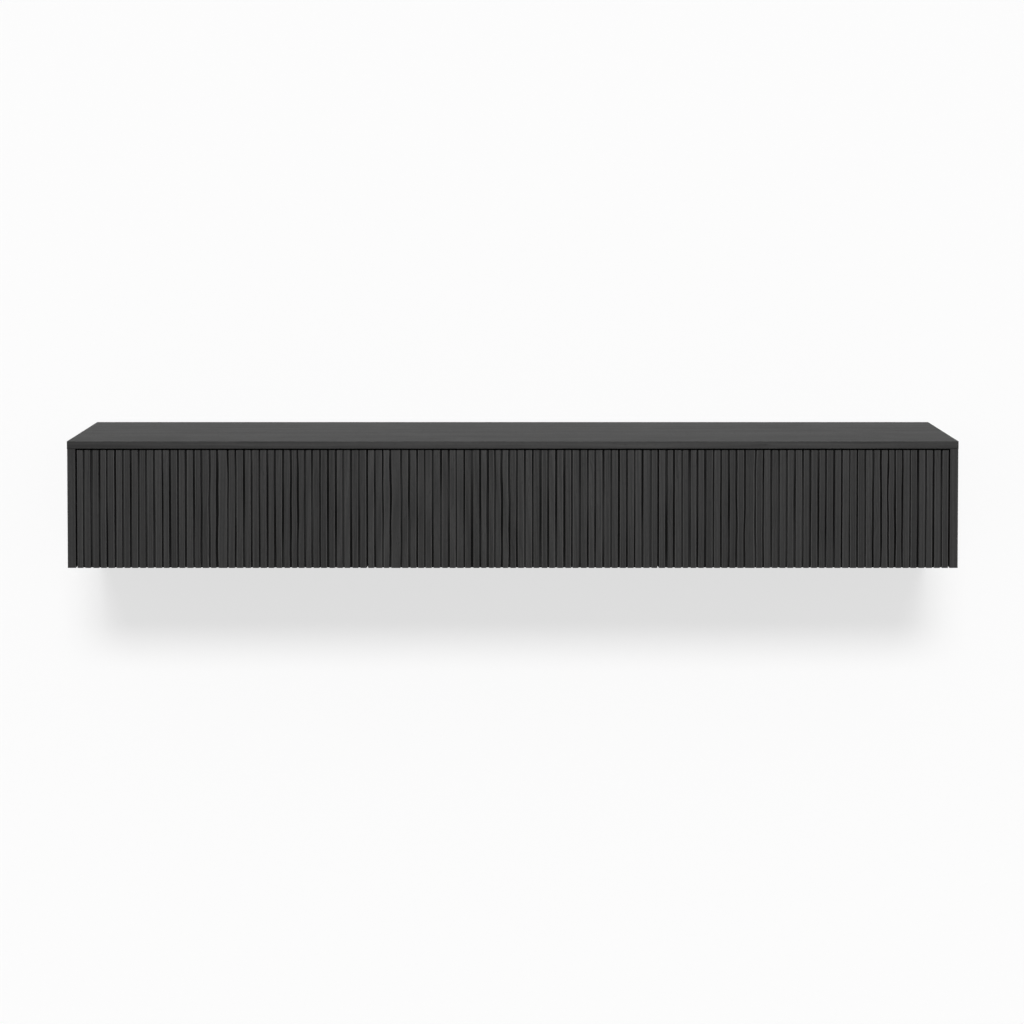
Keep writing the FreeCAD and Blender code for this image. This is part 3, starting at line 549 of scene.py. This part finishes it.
def slatMaterial(name, finish, face, topEnd):
    # slats carry two attributes: across (-1 at the left edge, 1 at the right) and tone (one value for each)
    material, tree, shader = newMaterial(name)
    place = objectPlace(tree)
    y, z = splitVector(tree, place)[1:]
    tone = addNode(tree, "ShaderNodeAttribute", attribute_name="tone").outputs["Fac"]
    across = addNode(tree, "ShaderNodeAttribute", attribute_name="across").outputs["Fac"]
    # each slat is cut from another place in the wood
    apart = vectorCalc(tree, "ADD", place, scaled(tree, joinVector(tree, *finish["toneJump"]), tone))
    oak = useGroup(tree, "oak", Vector=turned(tree, apart, alongZ, finish["start"]),
                   Ring_Width=finish["ringWidth"], Pore_Amount=finish["pores"], Bend=finish["bend"],
                   Knot_Bend=finish["knotBend"])
    life = useGroup(tree, "handled", Vector=place, Dust=finish["dust"])
    stain = mixColour(tree, remap(tree, oak.outputs["Tone"], finish["toneLow"], finish["toneHigh"]),
                      grey(finish["dark"], finish["warmDark"]), grey(finish["light"], finish["warmLight"]))
    stain = mixColour(tree, calc(tree, "MULTIPLY", oak.outputs["Pores"], finish["poreMix"]), stain,
                      grey(finish["dark"] * finish["poreShade"]))
    # each slat has its own shade, in part painted light from the fronts' offsets; and painted shade: all are
    # drawn darker towards the foot, as the light falls off downwards
    shade = remap(tree, tone, 0.0, 1.0, 1 - finish["span"], 1 + finish["span"])
    footFalloff = remap(tree, z, 0.0, topEnd, 1 - finish["footShade"], 1 + finish["footShade"])
    stain = scaled(tree, stain, calc(tree, "MULTIPLY", shade, footFalloff))
    # painted highlight along both eased edges, where they catch the light, together with stain rubbed thin
    # there; on some slats more than on others
    rimWearAndHighlight = remap(tree, calc(tree, "ABSOLUTE", across), finish["rimStart"], finish["rimEnd"], smooth=True)
    other = calc(tree, "MULTIPLY", calc(tree, "GREATER_THAN", across, 0.0), finish["otherRim"])
    chance = calc(tree, "FRACT", calc(tree, "MULTIPLY_ADD", tone, finish["rimJump"], other))
    rimWearAndHighlight = calc(tree, "MULTIPLY", rimWearAndHighlight, remap(tree, chance, 0.0, 1.0, finish["rimLeast"], finish["rimMost"]))
    stain = mixColour(tree, rimWearAndHighlight, stain, grey(finish["rimWearHighlight"], finish["rimWarmth"]))
    # end grain takes the stain darker, and here it and the sides deep in a groove are drawn black as painted
    # shade, where shade falls under the top and in the grooves
    endGrain = calc(tree, "MAXIMUM", calc(tree, "GREATER_THAN", z, topEnd),
                    calc(tree, "LESS_THAN", z, finish["endGrain"]))
    grooveShade = remap(tree, y, face + finish["grooveShadeStart"], face + finish["grooveShadeEnd"], smooth=True)
    stain = mixColour(tree, calc(tree, "MAXIMUM", endGrain, grooveShade), stain, grey(finish["endAndGrooveShade"]))
    plug(tree, stain, shader.inputs["Base Color"])
    rough = calc(tree, "MULTIPLY_ADD", life.outputs["Smear"], finish["roughSpan"], finish["rough"])
    rough = calc(tree, "MULTIPLY_ADD", oak.outputs["Pores"], finish["poreRough"], rough, clamp=True)
    plug(tree, rough, shader.inputs["Roughness"])
    shader.inputs["Specular IOR Level"].default_value = finish["specular"]
    bumped(tree, shader, oak.outputs["Height"], finish["relief"], finish["reliefDepth"])
    return material


def paint(node, material):
    for slot in nodes[node].material_slots:
        slot.material = material


paint("top_panel", oakMaterial("blackOakTop", oakFinishes["top"], "top_panel"))
paint("bottom_panel", oakMaterial("blackOakUnderside", oakFinishes["underside"], "bottom_panel"))
for side, shade in paintedSideLight.items():
    sidePanel = side + "_side_panel"
    paint(sidePanel, oakMaterial(side + "BlackOakSide", oakFinishes["side"], sidePanel, shade))
    paint(side + "_divider", boardMaterial(side + "DividerBoard", side + "_divider"))
paint("back_panel", boardMaterial("backBoard", "back_panel"))

zincSteel = metalMaterial("zincSteel", metalFinishes["zinc"])
screwSteel = metalMaterial("screwSteel", metalFinishes["screw"])
nickelSteel = metalMaterial("nickelSteel", metalFinishes["nickel"])
castZinc = metalMaterial("castZinc", metalFinishes["cast"])
blackPlastic = plasticMaterial("blackPlastic", plasticFinishes["black"])
greyPlastic = plasticMaterial("greyPlastic", plasticFinishes["grey"])
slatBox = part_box("left_front_slats")
blackOakSlat = slatMaterial("blackOakSlat", slatFinish, slatBox[0].y, slatBox[1].z - slatFinish["endGrain"])

for node in ("cabinet_rail", "wall_rail", "stay_mount_plates"):
    paint(node, zincSteel)
for node in ("rail_screws", "divider_screws", "back_screws", "cabinet_screws", "cam_bolts"):
    paint(node, screwSteel)
for node in ("cabinet_hinge_leaves", "hinge_pins"):
    paint(node, nickelSteel)
paint("carcass_dowels", beechMaterial("bareBeech", beechFinish))
paint("cam_discs", castZinc)

for name in frontNames:
    front = name + "_front"
    board = front + "_board"
    paint(board, boardMaterial(name + "FrontBoard", board, slatBox[1].y + boardFinish["faceMargin"]))
    for piece in ("_hinge_leaves", "_stay_brackets", "_strike_plate"):
        paint(front + piece, nickelSteel)
    paint(front + "_screws", screwSteel)
    paint(front + "_slats", blackOakSlat)
    for hand in ("left", "right"):
        paint(front + "_" + hand + "_arm", nickelSteel)
        paint(front + "_" + hand + "_swivel", castZinc)
    paint(name + "_cable_grommet", blackPlastic)
    paint(name + "_latch_body", greyPlastic)
    paint(name + "_latch_plunger", greyPlastic)
print("materials assigned")


# slats: each a closed bar with eased edges whose sides wander a little, as planed oak does; a length is in
# metres, a wave is (length, weight), a reach is a number of slats, and wide, narrow and figures name slats
slatShape = {
    "count": 37, "groove": 0.0045, "easing": 0.0008, "rows": 41, "cornerPoints": 4, "facePoints": 3,
    "uneven": 0.035, "unevenTurns": (2.1, 0.9),
    "wide": {"left": 18, "centre": 3, "right": 11}, "wideShare": 0.5,
    "narrow": {"left": 28, "centre": 16, "right": 29}, "narrowShare": 0.13, "narrowReach": 1.6,
    "waver": 0.00013, "figureWaver": 0.0009, "figureReach": 2.2,
    "figures": {"left": (18, 28), "centre": (3, 17), "right": (11, 29)},
    "middleWaves": ((0.31, 0.6), (0.13, 0.4)), "grooveWaves": ((0.21, 0.35), (0.09, 0.25)),
    "proud": 0.0006, "shaved": 0.0010, "seed": {"left": 3, "centre": 5, "right": 8},
    # painted light: the centre front is drawn lighter and the outer two darker, as light falls off towards
    # the ends
    "shade": {"left": -0.10, "centre": 0.19, "right": -0.07},
}


def slatEdges(name, low, high, random):
    # widths: 1, plus a slow unevenness, plus one wide slat, less a few narrow ones; scaled to fill the front
    shape = slatShape
    index = np.arange(shape["count"])
    fast, slow = shape["unevenTurns"]
    share = 1 + shape["uneven"] * np.sin(fast * index + shape["seed"][name]) * np.cos(slow * index)
    share += shape["wideShare"] * (index == shape["wide"][name])
    share -= shape["narrowShare"] * np.exp(-((index - shape["narrow"][name]) / shape["narrowReach"]) ** 2)
    room = (high.x - low.x) - (shape["count"] - 1) * shape["groove"]
    width = share / share.sum() * room
    left = low.x + np.concatenate([[0.0], np.cumsum(width + shape["groove"])[:-1]])
    # then each side face is planed off a little, or left proud, except at the two ends of the front
    shave = random.uniform(-shape["proud"], shape["shaved"], (2, shape["count"]))
    shave[0, 0] = 0.0
    shave[1, -1] = 0.0
    return left + shave[0], width - shave.sum(axis=0)


def slatSway(name, rise, random):
    # sway(z) = amount * (wave(z) +- half of gap(z)): wave moves a groove, gap opens and closes it; both are
    # sums of two sines, the amount swells near a figure in the grain, and the outermost edges stay straight
    shape = slatShape
    count = shape["count"]
    index = np.arange(count)
    swell = sum(np.exp(-((index - centre) / shape["figureReach"]) ** 2) for centre in shape["figures"][name])
    amount = shape["waver"] + shape["figureWaver"] * swell
    phase = random.uniform(0, 2 * np.pi, (4, count + 1))
    waves = [weight * np.sin(2 * np.pi * rise[:, None] / length + turn)
             for (length, weight), turn in zip(shape["middleWaves"] + shape["grooveWaves"], phase)]
    wave = waves[0] + waves[1]
    gap = waves[2] + waves[3]
    leftSway = amount * (wave[:, :count] + gap[:, :count] / 2)
    rightSway = np.append(amount[1:], amount[-1]) * (wave[:, 1:] - gap[:, 1:] / 2)
    leftSway[:, 0] = 0.0
    rightSway[:, -1] = 0.0
    return leftSway, rightSway


def slatProfile(thickness):
    # round the slat from its back left corner: the depth behind the face, the inset from the nearer edge on
    # the eased corners (quarter circles), and the share of the width at which each point stands
    easing, corner, face = slatShape["easing"], slatShape["cornerPoints"], slatShape["facePoints"]
    turn = np.linspace(0, np.pi / 2, corner)
    flat = np.zeros(face)
    depth = np.concatenate([[thickness], easing * (1 - np.sin(turn)), flat, easing * (1 - np.cos(turn)),
                            [thickness]])
    inset = np.concatenate([[0.0], easing * (1 - np.cos(turn)), flat, -easing * (1 - np.sin(turn)), [0.0]])
    share = np.concatenate([np.zeros(corner + 1), np.linspace(0, 1, face + 2)[1:-1], np.ones(corner + 1)])
    return depth, inset, share


def barFaces(count, rows, profile):
    # each bar is a grid of rows by profile points: quads round its sides, one face at its foot and its head
    step = np.arange(profile)
    after = (step + 1) % profile
    row = np.arange(rows - 1)[:, None] * profile
    quads = np.stack([row + step, row + after, row + profile + after, row + profile + step], axis=-1)
    offset = np.arange(count)[:, None] * rows * profile
    quads = (quads.reshape(-1, 4)[None] + offset[:, :, None]).reshape(-1, 4)
    foot = step[::-1][None] + offset
    head = step[None] + (rows - 1) * profile + offset
    return quads.tolist() + foot.tolist() + head.tolist()


def buildSlats(name):
    # a slat is profile(s) carried up z: x = left(z) to right(z) at share(s), plus inset(s), and
    # y = face + depth(s)
    shape = slatShape
    low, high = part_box(name + "_front_slats")
    random = np.random.default_rng(shape["seed"][name])
    left, width = slatEdges(name, low, high, random)
    z = np.linspace(low.z, high.z, shape["rows"])
    leftSway, rightSway = slatSway(name, z - low.z, random)
    depth, inset, share = slatProfile(high.y - low.y)
    leftX = left[None, :] + leftSway
    rightX = (left + width)[None, :] + rightSway
    x = leftX[:, :, None] * (1 - share) + rightX[:, :, None] * share + inset
    y = np.broadcast_to(low.y + depth, x.shape)
    points = np.stack([x, y, np.broadcast_to(z[:, None, None], x.shape)], axis=-1)
    points = points.transpose(1, 0, 2, 3)  # slat, row, profile point
    mesh = bpy.data.meshes.new(name + "FrontSlats")
    mesh.from_pydata(points.reshape(-1, 3).tolist(), [], barFaces(*points.shape[:3]))
    # each slat's tone is random, plus the painted light of its front
    slatShadesAndLight = random.uniform(0, 1, shape["count"]) + shape["shade"][name]
    attributes = {"across": 2 * share - 1, "tone": slatShadesAndLight[:, None, None]}
    for label, values in attributes.items():
        values = np.broadcast_to(values, points.shape[:3]).astype(np.float32)
        mesh.attributes.new(label, "FLOAT", "POINT").data.foreach_set("value", values.ravel())
    mesh.materials.append(blackOakSlat)
    slats = bpy.data.objects.new(name + "_front_oak_slats", mesh)
    scene.collection.objects.link(slats)
    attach(slats, name + "_front")
    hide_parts(name + "_front_slats")


for name in frontNames:
    buildSlats(name)
print("slats built")


# studio: a white wall with the console's soft shadow, a white floor, one broad lamp high in front and two
# weaker ones low behind; the key's level is what an upright face turned to it gets, the fill's what a face
# square to it gets; rise, turn, angle and spread are in degrees, lengths in metres
studio = {
    "wallGap": 0.0004, "reach": 9.0, "wallTop": 6.0, "floorDrop": 1.7, "glow": 0.682, "wallShade": 0.295,
    "floorShade": 0.283, "coverStart": 0.003, "coverEnd": 0.018, "coverLeast": 0.02,
    "white": 0.974, "ambientUp": 0.40, "ambientDown": 0.12, "ambientBlend": 0.5,
    "keyLevel": 0.74, "keyRise": 33.5, "keyAngle": 13.0, "keySpread": 7.0,
    "fillLevel": 0.36, "fillRise": 12.0, "fillTurn": 115.0, "fillAngle": 30.0,
}


def backdropMaterial(name, shade, shadowedArea=None):
    # seen from the front it is white with the shadow; from behind it isn't there; where the console covers
    # it (half width, height) it carries a painted shadow, dark to an eye that looks through the console
    material = bpy.data.materials.new(name)
    material.use_nodes = True
    tree = material.node_tree
    tree.nodes.clear()
    light = addNode(tree, "ShaderNodeLightPath")
    direct = light.outputs["Is Camera Ray"]
    if shadowedArea:
        x, _, z = splitVector(tree, objectPlace(tree))
        inX = calc(tree, "SUBTRACT", shadowedArea[0], calc(tree, "ABSOLUTE", x))
        inZ = calc(tree, "MINIMUM", z, calc(tree, "SUBTRACT", shadowedArea[1], z))
        outsideShadow = remap(tree, calc(tree, "MINIMUM", inX, inZ), studio["coverStart"], studio["coverEnd"], 1.0,
                    studio["coverLeast"])
        direct = calc(tree, "MULTIPLY", direct, outsideShadow)
    mirrored = calc(tree, "ADD", light.outputs["Is Glossy Ray"], light.outputs["Is Transmission Ray"])
    seen = calc(tree, "ADD", direct, mirrored, clamp=True)
    glow = addNode(tree, "ShaderNodeEmission")
    plug(tree, grey(1.0), glow.inputs["Color"])
    plug(tree, calc(tree, "MULTIPLY", seen, studio["glow"]), glow.inputs["Strength"])
    matt = addNode(tree, "ShaderNodeBsdfDiffuse")
    plug(tree, grey(shade), matt.inputs["Color"])
    both = addNode(tree, "ShaderNodeAddShader")
    tree.links.new(glow.outputs[0], both.inputs[0])
    tree.links.new(matt.outputs[0], both.inputs[1])
    pick = addNode(tree, "ShaderNodeMixShader")
    tree.links.new(addNode(tree, "ShaderNodeNewGeometry").outputs["Backfacing"], pick.inputs[0])
    tree.links.new(both.outputs[0], pick.inputs[1])
    tree.links.new(addNode(tree, "ShaderNodeBsdfTransparent").outputs[0], pick.inputs[2])
    tree.links.new(pick.outputs[0], addNode(tree, "ShaderNodeOutputMaterial").inputs[0])
    return material


def backdrop(name, corners, shade, shadowedArea=None):
    mesh = bpy.data.meshes.new(name)
    mesh.from_pydata(corners, [], [(0, 1, 2, 3)])
    mesh.materials.append(backdropMaterial(name, shade, shadowedArea))
    plane = bpy.data.objects.new(name, mesh)
    scene.collection.objects.link(plane)
    plane.visible_diffuse = False
    plane.visible_shadow = False


wallY = cadBox[1][1] + studio["wallGap"]
reach, floorZ, wallTop = studio["reach"], -studio["floorDrop"], studio["wallTop"]
wallCorners = [(-reach, wallY, floorZ), (reach, wallY, floorZ), (reach, wallY, wallTop),
               (-reach, wallY, wallTop)]
floorCorners = [(-reach, -reach, floorZ), (reach, -reach, floorZ), (reach, wallY, floorZ),
                (-reach, wallY, floorZ)]
backdrop("wall", wallCorners, studio["wallShade"], shadowedArea=(cadBox[1][0], cadBox[1][2]))
backdrop("floor", floorCorners, studio["floorShade"])


def addSun(name, level, rise, turn, angle):
    # level: what a face square to the lamp gets; rise above the horizon; turn from straight in front
    lamp = bpy.data.lights.new(name, "SUN")
    lamp.energy = math.pi * level
    lamp.angle = math.radians(angle)
    sun = bpy.data.objects.new(name, lamp)
    sun.rotation_euler = (math.radians(90 - rise), 0.0, math.radians(turn))
    scene.collection.objects.link(sun)


keySquare = studio["keyLevel"] / math.cos(math.radians(studio["keyRise"]))
for step in (-1, 0, 1):  # three side by side make one lamp that is wider than it is high
    addSun("key" + str(step), keySquare / 3, studio["keyRise"], step * studio["keySpread"],
           studio["keyAngle"])
for way in (-1, 1):
    addSun("fill" + str(way), studio["fillLevel"], studio["fillRise"], way * studio["fillTurn"],
           studio["fillAngle"])

# the world is white where it is seen, itself or mirrored, and otherwise light that falls off downwards
world = bpy.data.worlds.new("studio")
scene.world = world
world.use_nodes = True
worldTree = world.node_tree
worldTree.nodes.clear()
path = addNode(worldTree, "ShaderNodeLightPath")
mirrored = calc(worldTree, "ADD", path.outputs["Is Glossy Ray"], path.outputs["Is Transmission Ray"])
seen = calc(worldTree, "ADD", path.outputs["Is Camera Ray"], mirrored, clamp=True)
skyward = splitVector(worldTree, addNode(worldTree, "ShaderNodeTexCoord").outputs["Generated"])[2]
ambient = remap(worldTree, skyward, -studio["ambientBlend"], studio["ambientBlend"], studio["ambientDown"],
                studio["ambientUp"])
sky = addNode(worldTree, "ShaderNodeBackground")
plug(worldTree, grey(1.0), sky.inputs["Color"])
plug(worldTree, remap(worldTree, seen, 0.0, 1.0, ambient, studio["white"]), sky.inputs["Strength"])
worldTree.links.new(sky.outputs[0], addNode(worldTree, "ShaderNodeOutputWorld").inputs[0])

# the camera's place in metres, its downward pitch in degrees, and its lens
view = {"place": (-0.0017, -5.6551, 0.9639), "pitch": 1.882, "lens": 81.739, "sensor": 36.0,
        "shift": -0.27, "clipEnd": 60.0}
lens = bpy.data.cameras.new("view")
lens.lens = view["lens"]
lens.sensor_width = view["sensor"]
lens.shift_y = view["shift"]
lens.clip_end = view["clipEnd"]
camera = bpy.data.objects.new("view", lens)
camera.location = view["place"]
camera.rotation_euler = (math.radians(90 - view["pitch"]), 0.0, 0.0)
scene.collection.objects.link(camera)
scene.camera = camera
scene.view_settings.view_transform = "Standard"
print("studio set")
